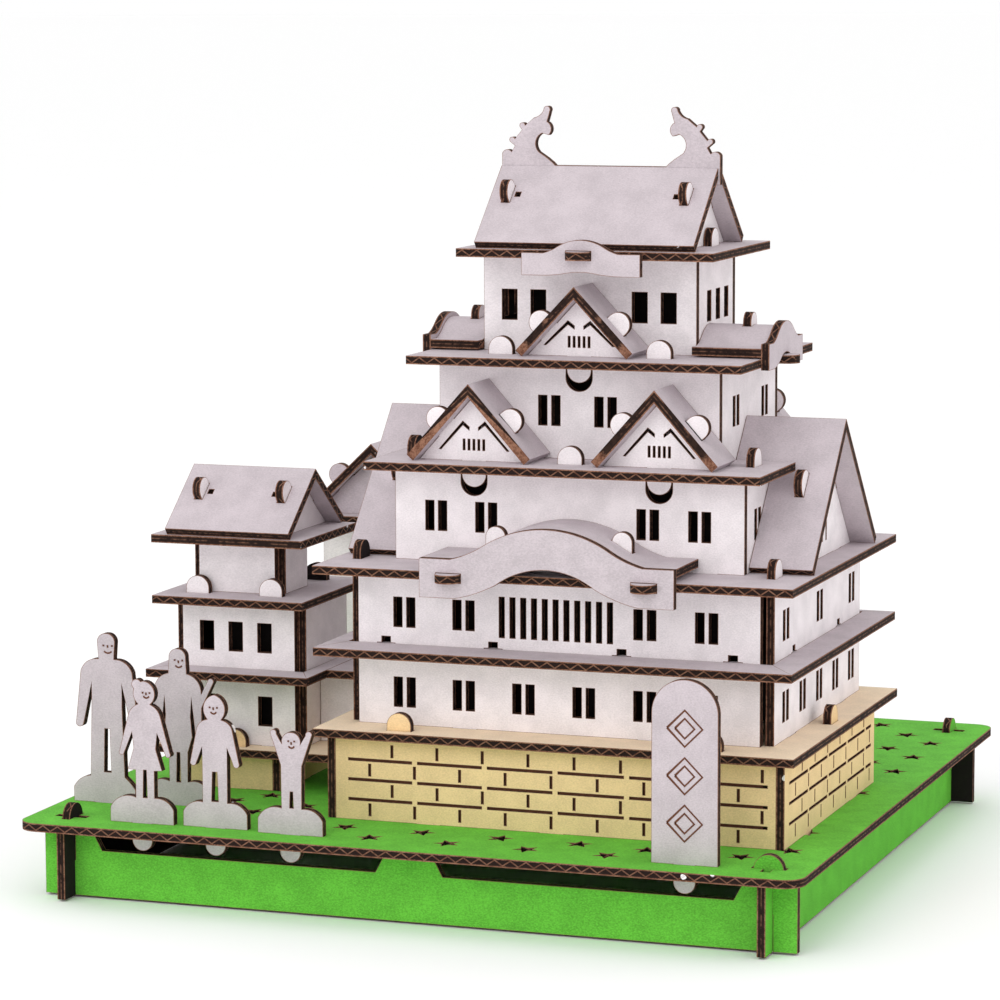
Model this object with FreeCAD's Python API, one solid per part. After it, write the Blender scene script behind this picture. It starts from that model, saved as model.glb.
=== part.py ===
import FreeCAD, Part
import math
import os

# A castle keep made of flat sheets of thin corrugated board that slot into each other.
# X runs to the right, Y to the back, Z up; the origin is under the middle of the ground plate.

# Board, slots and tabs
board = 1.6
fit = 0.1
tab_width = 4.8
tab_rise = 3.4
peg_depth = board
cut_margin = 1.0

# Ground box
ground_half_x = 76.3
ground_half_y = 77.4
ground_radius = 4.0
panel_height = 13.4
panel_face_x = ground_half_x - 7.06
panel_face_y = ground_half_y - 7.65
panel_overrun = 4.6
corner_slot = 6.4
corner_tab = 5.6
opening_floor = 8.9
opening_slope = 2.4
opening_margin = 4.84
opening_inner = 4.2
star_reach = 2.7
star_waist = 1.1
star_points = 5
star_pitch = 7.65
star_turn = 0.7

# Middle of the eave plates and of the walls, in plan
plate_x = 22.5
wall_x = 21.3

# Stone base of the keep and its terrace
stone_front = -54.3
stone_back = 10.9
stone_half = 44.6
stone_top = 30.8
terrace_half_x = 46.8
terrace_shift = 0.1
terrace_front = -57.0
terrace_back = 19.6
brick_course = 3.8
brick_length = 9.0
brick_slit = 0.5
brick_gap = 1.1

# Storeys 1 and 2
keep_front = -47.9
keep_back = 17.0
keep_half = 39.4
keep_side = 41.4
keep_top = 61.7
eave1_z = 46.25
eave1_half_x = 46.4
eave1_front = -57.0
eave1_back = 19.2
eave2_half_x = 46.5
eave2_front = -56.8
eave2_back = 19.1
window_width = 1.75
window_gap = 0.85
window_height = 5.7
window_low = 38.65
window_high = 53.9
window_pitch = 11.85
window_first = -9.0
side_window_first = -38.5
bar_first = 10.45
bar_pitch = 2.12
bar_width = 1.1
bar_height = 7.7

# Storey 3 and eave 3
hall_front = -43.1
hall_back = 9.2
hall_half = 34.25
hall_x = 21.75
hall_top = 80.9
hall_window_z = 71.85
eave3_half_x = 38.5
eave3_front = -50.6
eave3_back = 12.5

# Storey 4 and eave 4
upper_front = -34.6
upper_back = 4.6
upper_half = 27.65
upper_x = 21.0
upper_top = 100.25
upper_window_z = 91.5
eave4_half_x = 32.7
eave4_front = -43.2
eave4_back = 6.2

# Storey 5 and eave 5
crown_front = -26.7
crown_back = -1.2
crown_half = 21.1
crown_x = 20.6
crown_top = 120.1
crown_window_z = 110.6
crown_window_height = 5.8
eave5_half_x = 25.2
eave5_front = -36.2
eave5_back = 2.2

# Large arched gable on eave 2
arch_x = 22.6
arch_half = 24.6
arch_flat = 18.6
arch_bend = 11.6
arch_low = 66.0
arch_mid = 69.1
arch_high = 72.3
arch_under_flat = 17.6
arch_under_bend = 9.6
arch_under_low = 58.7
arch_under_mid = 61.6
arch_under_high = 64.8
arch_tab_place = 18.9
arch_tab_reach = 2.6
arch_rib_inset = 6.0
arch_rib_tab = 12.3
arch_rib_half = 17.0
rib_tab_width = 3.9

# Small gables on eave 3 and the centre gable on eave 4
gable_spread = 18.15
gable_middle = 21.45
gable_half = 11.0
gable_rise = 12.3
gable_overhang = 3.3
centre_half = 10.3
centre_rise = 10.9
slit_width = 0.45

# Side gables between eave 2 and storey 4
side_ridge_y = -17.0
side_half = 22.3
side_rise = 24.2
side_face_inset = 6.5
side_tab_share = 0.58
side_edge = 68.2
side_notch = 9.6
side_slit_z = 69.0
side_slit_pitch = 2.75
side_slit_height = 5.6

# Side arched gables on eave 4
flank_y = -18.4
flank_half = 11.6
flank_flat = 8.6
flank_bend = 5.2
flank_low = 104.7
flank_mid = 106.4
flank_high = 108.2
flank_under_low = 99.8
flank_under_mid = 101.0
flank_under_high = 102.3
flank_skin_drop = 0.9
flank_rib_half = 8.8
flank_rib_inset = 6.3

# Top roof
roof_left = 0.5
roof_right = 43.6
roof_ridge_y = -18.5
roof_ridge_z = 136.6
roof_eave_y = -34.9
roof_end_left = 3.1
roof_tab_width = 4.4
roof_tab_share = 0.63
relief_width = 1.3
relief_length = 1.1
relief_gap = 0.6
ridge_depth = 3.2
ornament_step = 0.95
top_arch_half = 11.6
top_arch_flat = 7.4
top_arch_bend = 4.4
top_arch_tab = 22.1

# Small keep at the left
small_x = -49.7
small_front = -32.5
small_back = -8.0
small_half = 11.85
small_side = 13.6
small_floor = 23.3
small_stone_front = -35.0
small_stone_half = 9.6
small_eave1_z = 36.8
small_eave2_z = 51.3
small_eave3_z = 63.3
small_eave_half = 15.8
small_eave_front = -39.0
small_top_half = 8.05
small_top_back = -15.6
small_window_width = 2.95
small_window_height = 5.8
small_window_low = 30.1
small_window_high = 44.6
small_window_pitch = 6.1
small_window_shift = 0.6
small_roof_half = 13.3
small_top_x_shift = -1.3
small_end_inset = 3.4
small_roof_left = -62.5
small_roof_right = -36.6
small_ridge_y = -24.0
small_ridge_z = 77.4
corridor_front = -24.0
corridor_back = -12.0

# Rear keep behind the small keep
rear_x = -46.0
rear_front = 32.0
rear_back = 56.0
rear_half = 12.0
rear_top = 59.0
rear_eave = 4.5
rear_rise = 13.0

# Figures and name board
figure_step = 1.0
figure_base = 6.5
figure_tab = 4.1
figure_tab_depth = 5.3
figure_short_tab = board
name_width = 12.4
name_height = 33.5


def point(plane, offset, u, w):
    if plane == "plan":
        return FreeCAD.Vector(u, w, offset)
    if plane == "front":
        return FreeCAD.Vector(u, offset, w)
    return FreeCAD.Vector(offset, u, w)


def normal(plane, length):
    if plane == "plan":
        return FreeCAD.Vector(0, 0, length)
    if plane == "front":
        return FreeCAD.Vector(0, length, 0)
    return FreeCAD.Vector(length, 0, 0)


def sheet(plane, offset, outline, thickness=board):
    """A flat piece: its outline is points (u, w) and arcs ((via), (end))."""
    edges = []
    start = point(plane, offset, *outline[0])
    last = start
    for step in outline[1:] + [outline[0]]:
        if isinstance(step[0], tuple):
            via = point(plane, offset, *step[0])
            end = point(plane, offset, *step[1])
            edges.append(Part.Arc(last, via, end).toShape())
        else:
            end = point(plane, offset, *step)
            if end.distanceToPoint(last) > 1e-6:
                edges.append(Part.LineSegment(last, end).toShape())
        last = end
    face = Part.Face(Part.Wire(edges))
    return face.extrude(normal(plane, thickness))


def rect(u0, w0, u1, w1):
    return [(u0, w0), (u1, w0), (u1, w1), (u0, w1)]


def around(u, w, wide, high):
    return rect(u - wide / 2, w - high / 2, u + wide / 2, w + high / 2)


def punch(solid, plane, offset, outlines, thickness=board):
    """Cuts outlines right through a sheet that lies at this offset."""
    if not outlines:
        return solid
    tools = [sheet(plane, offset - cut_margin, o, thickness + 2 * cut_margin) for o in outlines]
    return solid.cut(tools)


def join(solids):
    whole = solids[0].fuse(solids[1:]) if len(solids) > 1 else solids[0]
    return whole.removeSplitter()


def tab_up(c, base, top, wide=tab_width):
    """Right to left over a round-headed tab."""
    r = wide / 2
    return [(c + r, base), (c + r, top - r), ((c, top), (c - r, top - r)), (c - r, base)]


def peg_down(c, base, depth, wide=tab_width):
    """Left to right round a square peg below an edge."""
    r = wide / 2
    return [(c - r, base), (c - r, base - depth), (c + r, base - depth), (c + r, base)]


def wall(plane, offset, u0, u1, z0, z1, heads=(), pegs=(), holes=(), rise=tab_rise):
    outline = [(u0, z0)]
    for c in sorted(pegs):
        outline += peg_down(c, z0, peg_depth)
    outline += [(u1, z0), (u1, z1)]
    for c in sorted(heads, reverse=True):
        outline += tab_up(c, z1, z1 + board + rise)
    outline += [(u0, z1)]
    return punch(sheet(plane, offset, outline), plane, offset, list(holes))


def plate(u0, v0, u1, v1, z, slots=()):
    return punch(sheet("plan", z, rect(u0, v0, u1, v1)), "plan", z, list(slots))


def slot_x(c, y, wide=tab_width):
    """Slot for a tab of a sheet that runs along X and has its front face at y."""
    return rect(c - wide / 2 - fit, y - fit, c + wide / 2 + fit, y + board + fit)


def slot_y(x, c, wide=tab_width):
    return rect(x - fit, c - wide / 2 - fit, x + board + fit, c + wide / 2 + fit)


def window_pair(c, z, height=window_height, wide=window_width, gap=window_gap):
    half = (wide + gap) / 2
    return [around(c - half, z, wide, height), around(c + half, z, wide, height)]


def mirror_x(solid, x):
    return solid.mirror(FreeCAD.Vector(x, 0, 0), FreeCAD.Vector(1, 0, 0))


# Ground box

ground_top = panel_height + board
corner_x = panel_face_x - board
corner_y = panel_face_y - board


def star(x, y, turn):
    outline = []
    for i in range(2 * star_points):
        angle = turn + math.pi * i / star_points
        reach = star_reach if i % 2 == 0 else star_waist
        outline.append((x + reach * math.cos(angle), y + reach * math.sin(angle)))
    return outline


def star_places():
    """Stars along the front, down the right side and along the back, each in two staggered rows."""
    right, rear = ground_half_x, ground_half_y
    rows = (8.1, 15.1)
    places = [(right - 92.2 + star_pitch * i, -rear + (9.0 if i % 2 else 16.2)) for i in range(8)]
    places += [(right - 33.0, -rear + 15.4), (right - 15.3, -rear + 15.7), (right - rows[0], -rear + 23.2)]
    places += [(right - 9.5, -rear + 39.1), (right - 9.5, 0.0)]
    places += [(right - rows[i % 2], rear - 54.8 + star_pitch * i) for i in range(6)]
    places += [(right - 22.8 - star_pitch * i, rear - (14.9 if i % 2 else 7.4)) for i in range(15)]
    places += [(-right + u, -rear + v) for u, v in ((31.1, 31.9), (36.1, 38.2), (38.6, 23.3), (46.1, 31.2))]
    return places


def ground_plate():
    r = ground_radius
    bend = r * (1 - math.sqrt(0.5))
    x, y = ground_half_x, ground_half_y
    outline = [(-x + r, -y), (x - r, -y), ((x - bend, -y + bend), (x, -y + r)), (x, y - r),
               ((x - bend, y - bend), (x - r, y)), (-x + r, y), ((-x + bend, y - bend), (-x, y - r)),
               (-x, -y + r), ((-x + bend, -y + bend), (-x + r, -y))]
    solid = sheet("plan", panel_height, outline)
    cuts = []
    for sx in (-1, 1):
        for sy in (-1, 1):
            cx = sx * (panel_face_x - board / 2)
            cy = sy * (panel_face_y - board / 2)
            cuts.append(around(cx, cy, corner_slot, board + 2 * fit))
            cuts.append(around(cx, cy, board + 2 * fit, corner_slot))
    solid = punch(solid, "plan", panel_height, cuts)
    cuts = [star(x, y, star_turn * i) for i, (x, y) in enumerate(star_places())]
    cuts += [slot_x(c, stone_front) for c in stone_pegs]
    cuts += [slot_x(c, stone_back - board) for c in stone_pegs]
    cuts += [slot_y(x, c) for x in stone_side_x for c in stone_side_pegs]
    cuts += [slot_x(small_x, small_stone_front), slot_y(small_stone_x[0], small_peg_y)]
    cuts += [slot_y(small_stone_x[1], small_peg_y)]
    cuts += [slot_x(rear_x, rear_front), slot_x(rear_x, rear_back - board)]
    for x, y, wide in standing_places():
        cuts.append(slot_x(x, y, wide))
    return punch(solid, "plan", panel_height, cuts)


def base_panel(face, end, cross, windows):
    """A panel along X whose outer face is at y = -face, before it is turned into place."""
    half = panel_height / 2
    tab_x = cross - board / 2
    outline = [(-end, 0), (tab_x - board / 2 - fit, 0), (tab_x - board / 2 - fit, half)]
    outline += [(tab_x + board / 2 + fit, half), (tab_x + board / 2 + fit, 0), (end, 0), (end, panel_height)]
    r = corner_tab / 2
    head = panel_height + board + 2.6
    outline += [(tab_x + r, panel_height), (tab_x + r, head - r), ((tab_x, head), (tab_x - r, head - r))]
    outline += [(tab_x - r, panel_height)]
    if windows:
        outer = panel_face_x - opening_margin
        for a, b in ((opening_inner, outer), (-outer, -opening_inner)):
            outline += [(b, panel_height), (b - opening_slope, opening_floor)]
            outline += [(a + opening_slope, opening_floor), (a, panel_height)]
    outline += [(-tab_x + board / 2 + fit, panel_height), (-tab_x + board / 2 + fit, half)]
    outline += [(-tab_x - board / 2 - fit, half), (-tab_x - board / 2 - fit, panel_height)]
    outline += [(-end, panel_height)]
    return sheet("front", -face, outline)


def base_panels():
    front = base_panel(panel_face_y, panel_face_x + panel_overrun, panel_face_x, True)
    right = base_panel(panel_face_x, panel_face_y + panel_overrun, panel_face_y, False)
    middle = FreeCAD.Vector(0, 0, 0)
    up = FreeCAD.Vector(0, 0, 1)
    back = front.copy()
    back.rotate(middle, up, 180)
    left = right.copy()
    left.rotate(middle, up, -90)
    right.rotate(middle, up, 90)
    return {"base_front": front, "base_back": back, "base_left": left, "base_right": right}


# Stone base and terrace

terrace_top = stone_top + board
stone_side_x = (wall_x + 1.1 - stone_half, wall_x + 1.1 + stone_half - board)
stone_inner = (stone_side_x[0] + board, stone_side_x[1])
stone_pegs = (-2.0, 22.4, 46.8)
stone_side_pegs = (-38.0, -5.0)
stone_heads = (-7.8, 52.7)
stone_side_heads = (-19.5,)


def brick_slits(u0, u1, first_z):
    """Four courses of dashes with upright joints between them."""
    cuts = []
    dash = brick_length * 1.42
    for i in range(3):
        z = first_z - brick_course * i
        u = u0 + 2.6
        while u < u1 - 3.0:
            end = min(u + dash, u1 - 1.6)
            cuts.append(around((u + end) / 2, z, end - u, brick_slit))
            u = end + brick_gap
    for course in range(4):
        z = first_z + brick_course / 2 - brick_course * course
        u = u0 + (11.4 if course % 2 == 0 else 6.9)
        while u < u1 - 2.0:
            cuts.append(around(u, z, brick_slit, brick_course * 0.62))
            u += brick_length
    return cuts


def stone_walls():
    left, right = stone_inner
    slits = brick_slits(left, right, 26.5)
    side = brick_slits(stone_front + 0.6, stone_back - 1.0, 26.8)
    front = wall("front", stone_front, left, right, ground_top, stone_top, stone_heads, stone_pegs, slits)
    back = wall("front", stone_back - board, left, right, ground_top, stone_top, stone_heads, stone_pegs)
    pieces = {"stone_front_wall": front, "stone_back_wall": back}
    for name, x in (("stone_left_wall", stone_side_x[0]), ("stone_right_wall", stone_side_x[1])):
        pieces[name] = wall("side", x, stone_front, stone_back, ground_top, stone_top,
                            stone_side_heads, stone_side_pegs, side)
    return pieces


def terrace_plate():
    slots = [slot_x(c, y) for c in stone_heads for y in (stone_front, stone_back - board)]
    slots += [slot_y(x, c) for x in stone_side_x for c in stone_side_heads]
    slots += [slot_x(c, y) for c in keep_pegs for y in (keep_front, keep_back - board)]
    slots += [slot_y(x, c) for x in keep_side_x for c in keep_side_pegs]
    x = plate_x + terrace_shift
    return plate(x - terrace_half_x, terrace_front, x + terrace_half_x, terrace_back, stone_top, slots)


# Storeys 1 and 2

keep_pegs = (3.0, 39.4)
keep_side_x = (wall_x - keep_side, wall_x + keep_side - board)
keep_side_pegs = (-34.0, 2.0)
keep_heads = (1.2, 40.8)
keep_side_heads = (-43.6, 12.6)
eave1_top = eave1_z + board
eave2_top = keep_top + board
strip_tabs = (-12.7, 33.9)
strip_side_tabs = (-33.0, -1.0)
strip_tab_width = 3.4


def strip_slots(places, z):
    """Slots for an eave strip's tabs, with a relief notch over each."""
    cuts = []
    for c in places:
        half = strip_tab_width / 2 + fit
        cuts.append(rect(c - half, z - fit, c + half, z + board + fit))
        cuts.append(rect(c - 0.9, z + board, c + 0.9, z + board + 1.3))
    return cuts


def window_row(places, z, first=window_first):
    return [hole for i in places for hole in window_pair(first + window_pitch * i, z)]


def keep_front_wall():
    low = window_row(range(6), window_low)
    high = window_row((0, 1, 4, 5), window_high)
    bars = [around(bar_first + bar_pitch * i, window_high, bar_width, bar_height) for i in range(11)]
    left = wall_x - keep_half - 0.2
    right = wall_x + keep_half - 0.2
    holes = low + high + bars + strip_slots(mirrored(strip_tabs), eave1_z)
    return wall("front", keep_front, left, right, terrace_top, keep_top, (), keep_pegs, holes)


def mirrored(places):
    """Places along X on both sides of the middle of the walls."""
    return sorted(set(places) | {round(2 * wall_x - c, 3) for c in places})


def keep_back_wall():
    left = wall_x - keep_half - 0.2
    right = wall_x + keep_half - 0.2
    holes = window_row(range(6), window_low) + window_row(range(6), window_high)
    holes += strip_slots(mirrored(strip_tabs), eave1_z)
    return wall("front", keep_back - board, left, right, terrace_top, keep_top, (), keep_pegs, holes)


def keep_side_wall(x):
    holes = window_row(range(5), window_low, side_window_first)
    holes += window_row((0, 2, 4), window_high, side_window_first) + strip_slots(strip_side_tabs, eave1_z)
    front = keep_front + board + fit
    back = keep_back - board - fit
    return wall("side", x, front, back, terrace_top, keep_top, keep_side_heads, keep_side_pegs, holes)


def eave1_strips():
    x0, x1 = plate_x - eave1_half_x, plate_x + eave1_half_x
    y0, y1 = eave1_front, eave1_back
    u0, u1 = wall_x - keep_side - fit, wall_x + keep_side + fit
    v0, v1 = keep_front - fit, keep_back + fit
    corners = [((x0, y0), (x1, y0), (u1, v0), (u0, v0)), ((x1, y0), (x1, y1), (u1, v1), (u1, v0)),
               ((x1, y1), (x0, y1), (u0, v1), (u1, v1)), ((x0, y1), (x0, y0), (u0, v0), (u0, v1))]
    strips = [sheet("plan", eave1_z, list(c)) for c in corners]
    reach = board + fit
    half = strip_tab_width / 2
    tabs = [[], [], [], []]
    for c in mirrored(strip_tabs):
        tabs[0].append(sheet("plan", eave1_z, rect(c - half, v0, c + half, v0 + reach)))
        tabs[2].append(sheet("plan", eave1_z, rect(c - half, v1 - reach, c + half, v1)))
    for c in strip_side_tabs:
        tabs[1].append(sheet("plan", eave1_z, rect(u1 - reach, c - half, u1, c + half)))
        tabs[3].append(sheet("plan", eave1_z, rect(u0, c - half, u0 + reach, c + half)))
    return Part.makeCompound([join([s] + t) for s, t in zip(strips, tabs)])


def nose(c, edge, way, reach, z):
    """A round-headed tab that runs on from a plate's front or back edge."""
    r = tab_width / 2
    neck = edge + way * (reach - r)
    tip = (c, edge + way * reach)
    return sheet("plan", z, [(c - r, edge), (c - r, neck), (tip, (c + r, neck)), (c + r, edge)])


def eave2_plate():
    slots = [slot_y(x, c) for x in keep_side_x for c in keep_side_heads]
    slots += [slot_x(c, y) for c in hall_pegs for y in (hall_front, hall_back - board)]
    slots += [slot_y(x, c) for x in hall_side_x for c in hall_side_pegs]
    slots += [slot_x(c, y) for c in arch_pegs for y in arch_rib_y]
    slots += [slot_y(x, c) for x in side_face_x for c in side_face_pegs]
    solid = plate(plate_x - eave2_half_x, eave2_front, plate_x + eave2_half_x, eave2_back, keep_top, slots)
    tabs = []
    reach = board + arch_tab_reach
    for c in (arch_x - arch_tab_place, arch_x + arch_tab_place):
        tabs.append(nose(c, eave2_front, -1, reach, keep_top))
        tabs.append(nose(c, eave2_back, 1, reach, keep_top))
    return join([solid] + tabs)


# Arched gables

def arch_line(c, half, flat, bend, low, mid, high):
    """Left to right over an arch with level ends and two reversed curves."""
    sag = 0.12 * (mid - low)
    via = (flat + bend) / 2
    return [(c - half, low), (c - flat, low), ((c - via, (low + mid) / 2 - sag), (c - bend, mid)),
            ((c, high), (c + bend, mid)), ((c + via, (low + mid) / 2 - sag), (c + flat, low)), (c + half, low)]


def reverse_line(line):
    """The same run of points and arcs from its other end."""
    ends = [step[1] if isinstance(step[0], tuple) else step for step in line]
    back = [ends[-1]]
    for i in range(len(line) - 1, 0, -1):
        if isinstance(line[i][0], tuple):
            back.append((line[i][0], ends[i - 1]))
        else:
            back.append(ends[i - 1])
    return back


def arch_over(top, bottom):
    return bottom + reverse_line(top)


arch_top = arch_line(arch_x, arch_half, arch_flat, arch_bend, arch_low, arch_mid, arch_high)
arch_bottom = arch_line(arch_x, arch_half, arch_under_flat, arch_under_bend,
                        arch_under_low, arch_under_mid, arch_under_high)
arch_skin = arch_line(arch_x, arch_half, arch_flat, arch_bend,
                      arch_low - board, arch_mid - board, arch_high - board)
arch_pegs = (arch_x - 14.0, arch_x + 14.0)
arch_rib_y = (eave2_front + arch_rib_inset, eave2_back - arch_rib_inset - board)


def arch_boards():
    holes = [around(c, keep_top + board / 2, tab_width + 2 * fit, board + 2 * fit)
             for c in (arch_x - arch_tab_place, arch_x + arch_tab_place)]
    pieces = []
    for y in (eave2_front - board, eave2_back):
        pieces.append(punch(sheet("front", y, arch_over(arch_top, arch_bottom)), "front", y, holes))
    return Part.makeCompound(pieces)


def arch_roofs():
    pieces = []
    spans = ((eave2_front, hall_front - fit, arch_rib_y[0]), (hall_back + fit, eave2_back, arch_rib_y[1]))
    for y0, y1, rib in spans:
        skin = sheet("front", y0, arch_over(arch_top, arch_skin), y1 - y0)
        slots = [slot_x(c, rib, rib_tab_width) for c in (arch_x - arch_rib_tab, arch_x + arch_rib_tab)]
        skin = skin.cut([sheet("plan", eave2_top, o, arch_high - eave2_top + cut_margin) for o in slots])
        pieces.append(skin)
    return Part.makeCompound(pieces)


def arch_ribs():
    lower = [(arch_x - arch_rib_half, eave2_top)]
    for c in arch_pegs:
        lower += peg_down(c, eave2_top, peg_depth)
    lower += [(arch_x + arch_rib_half, eave2_top)]
    gap = board + fit
    upper = arch_line(arch_x, arch_rib_half, arch_rib_half - fit, arch_bend,
                      arch_low - gap, arch_mid - gap, arch_high - gap)
    pieces = []
    for y in arch_rib_y:
        rib = sheet("front", y, lower + reverse_line(upper))
        heads = []
        for c in (arch_x - arch_rib_tab, arch_x + arch_rib_tab):
            r = rib_tab_width / 2
            top = arch_mid + 2.3
            heads.append(sheet("front", y, [(c - r, arch_low - gap), (c + r, arch_low - gap), (c + r, top - r),
                                            ((c, top), (c - r, top - r))]))
        pieces.append(join([rib] + heads))
    return Part.makeCompound(pieces)


# Storeys 3 to 5 share one way of standing: front and back walls cover the ends of the side walls

def storey(front, back, x, half, z0, z1, heads, side_heads, pegs, side_pegs, holes, side_holes, side_x):
    pieces = []
    for y in (front, back - board):
        pieces.append(wall("front", y, x - half, x + half, z0, z1, heads, pegs, holes))
    for sx in side_x:
        pieces.append(wall("side", sx, front + board, back - board, z0, z1, side_heads, side_pegs, side_holes))
    return Part.makeCompound(pieces)


eave3_top = hall_top + board
hall_pegs = (-5.0, 48.5)
hall_side_pegs = (-36.0, 2.0)
hall_heads = (22.2,)
hall_side_heads = (-34.4, 1.6)
hall_side_x = (hall_x - hall_half, hall_x + hall_half - board)
upper_pegs = (4.0, 38.0)
upper_side_pegs = (-26.0, -6.0)
upper_heads = (5.6, 36.8)
upper_side_x = (upper_x - upper_half, upper_x + upper_half - board)
eave4_top = upper_top + board
crown_pegs = (6.0, 35.2)
crown_side_pegs = (-15.6,)
crown_side_x = (crown_x - crown_half, crown_x + crown_half - board)
crown_side_heads = (-14.6,)
eave5_top = crown_top + board


def round_notch(c, top, deep=tab_rise + board, wide=5.2):
    """A U cut down from a wall's top edge, where a gable's tab hangs in front of the plate."""
    r = wide / 2
    foot = top - deep
    return [(c - r, top + 1), (c - r, foot + r), ((c, foot), (c + r, foot + r)), (c + r, top + 1)]


def storey3_walls():
    windows = [h for c in (-4.3, 5.7, 37.4, 47.4) for h in window_pair(c, hall_window_z, gap=0.8)]
    notches = [round_notch(gable_middle + s * gable_spread, hall_top) for s in (-1, 1)]
    side = [h for c in (-34.5, 0.5) for h in window_pair(c, hall_window_z)]
    return storey(hall_front, hall_back, hall_x, hall_half, eave2_top, hall_top, hall_heads, hall_side_heads,
                  hall_pegs, hall_side_pegs, windows + notches, side, hall_side_x)


def storey4_walls():
    windows = [h for c in (15.3, 26.4) for h in window_pair(c, upper_window_z)]
    notches = [round_notch(centre_x, upper_top)]
    side = [h for c in (-23.9, -4.4) for h in window_pair(c, upper_window_z)]
    return storey(upper_front, upper_back, upper_x, upper_half, eave3_top, upper_top, upper_heads, (),
                   upper_pegs, upper_side_pegs, windows + notches, side, upper_side_x)


def storey5_walls():
    windows = [around(c, crown_window_z, 3.05, crown_window_height) for c in (4.65, 10.4, 30.55, 36.25)]
    side = [around(c, crown_window_z, 2.8, crown_window_height) for c in (-18.5, -12.75, -7.2)]
    return storey(crown_front, crown_back, crown_x, crown_half, eave4_top, crown_top, (), crown_side_heads,
                  crown_pegs, crown_side_pegs, windows, side, crown_side_x)


def eave3_plate():
    slots = [slot_x(c, y) for c in hall_heads for y in (hall_front, hall_back - board)]
    slots += [slot_y(x, c) for x in hall_side_x for c in hall_side_heads]
    slots += [slot_x(c, y) for c in upper_pegs for y in (upper_front, upper_back - board)]
    slots += [slot_y(x, c) for x in upper_side_x for c in upper_side_pegs]
    for s in (-1, 1):
        c = gable_middle + s * gable_spread
        slots += [slot_x(c, y) for y in (hall_front, hall_back - board)]
    for wall_face, outer in ((upper_x + upper_half, 80), (upper_x - upper_half, -80)):
        slots.append(rect(wall_face, side_ridge_y - side_notch, outer, side_ridge_y + side_notch))
    return plate(plate_x - eave3_half_x, eave3_front, plate_x + eave3_half_x, eave3_back, hall_top, slots)


def eave4_plate():
    slots = [slot_x(c, y) for c in upper_heads for y in (upper_front, upper_back - board)]
    slots += [slot_x(c, y) for c in crown_pegs for y in (crown_front, crown_back - board)]
    slots += [slot_y(x, c) for x in crown_side_x for c in crown_side_pegs]
    slots += [slot_x(centre_x, y) for y in (upper_front, upper_back - board)]
    solid = plate(plate_x - eave4_half_x, eave4_front, plate_x + eave4_half_x, eave4_back, upper_top, slots)
    tabs = []
    half = tab_width / 2
    reach = board + arch_tab_reach
    for s in (-1, 1):
        edge = plate_x + s * eave4_half_x
        neck = edge + s * (reach - half)
        tip = (edge + s * reach, flank_y)
        tabs.append(sheet("plan", upper_top, [(edge, flank_y - half), (neck, flank_y - half),
                                              (tip, (neck, flank_y + half)), (edge, flank_y + half)]))
    return join([solid] + tabs)


def eave5_plate():
    slots = [slot_y(x, c) for x in roof_end_x for c in roof_end_pegs]
    slots += [slot_y(x, c) for x in crown_side_x for c in crown_side_heads]
    solid = plate(plate_x - eave5_half_x, eave5_front, plate_x + eave5_half_x, eave5_back, crown_top, slots)
    return join([solid, nose(top_arch_tab, eave5_front, -1, board + arch_tab_reach, crown_top)])


# Straight gables: a folded roof sheet over an upright face whose tabs come through it

centre_x = 21.2


def slope_frame(half, rise):
    length = math.hypot(half, rise)
    return half / length, rise / length


def folded_roof(plane, c, base, half, rise, start, length):
    """Chevron whose inner faces run from (c -+ half, base) up to (c, base + rise)."""
    ux, uz = slope_frame(half, rise)
    out = board / ux
    outline = [(c - half, base), (c, base + rise), (c + half, base),
               (c + half + board * uz, base + board * ux), (c, base + rise + out),
               (c - half - board * uz, base + board * ux)]
    return sheet(plane, start, outline, length)


def slope_tab(plane, offset, c, base, half, rise, side, share, wide, thickness=board, reach=3.0, play=0.0):
    """A round-headed tab square to a slope, at a share of the way up it."""
    ux, uz = slope_frame(half, rise)
    cx = c + side * half * (1 - share)
    cz = base + rise * share
    r = wide / 2 + play
    inner = -1.2
    outer = board + reach - r

    def at(along, out):
        return (cx + side * (uz * out - ux * along), cz + ux * out + uz * along)

    outline = [at(-r, inner), at(-r, outer), (at(0, outer + r), at(r, outer)), at(r, inner)]
    return sheet(plane, offset, outline, thickness)


def gable_face(plane, offset, c, base, half, rise, share, peg, slits, wide=4.6):
    ux, uz = slope_frame(half, rise)
    inset = fit / uz
    outline = [(c - half + inset, base)]
    if peg:
        r = tab_width / 2
        foot = base - board - peg
        outline += [(c - r, base), (c - r, foot + r), ((c, foot), (c + r, foot + r)), (c + r, base)]
    outline += [(c + half - inset, base), (c, base + rise - fit / ux)]
    body = sheet(plane, offset, outline)
    tabs = [slope_tab(plane, offset, c, base, half, rise, side, share, wide) for side in (-1, 1)]
    return punch(join([body] + tabs), plane, offset, slits)


def gable_roof(plane, c, base, half, rise, start, length, face_offset, share, wide=4.6):
    roof = folded_roof(plane, c, base, half, rise, start, length)
    cuts = [slope_tab(plane, face_offset - fit, c, base, half, rise, side, share, wide, board + 2 * fit, 3.0, fit)
            for side in (-1, 1)]
    return roof.cut(cuts)


def gable_slits(c, base, scale=1.0):
    """Five short bars under an M-shaped moulding, all as thin cuts."""
    cuts = [around(c + 0.98 * i, base + 3.0 * scale, slit_width, 2.1) for i in range(-2, 3)]
    for s in (-1, 1):
        w = slit_width
        line = [(c + s * 7.0, base + 2.0), (c + s * 2.2, base + 7.4 * scale), (c + s * 0.9, base + 6.3 * scale)]
        (a, b), (m, n), (p, q) = line
        cuts.append([(a, b), (m, n), (p, q), (p, q - w * 1.4), (m, n - w * 1.6), (a - s * w, b)])
    return cuts


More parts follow.
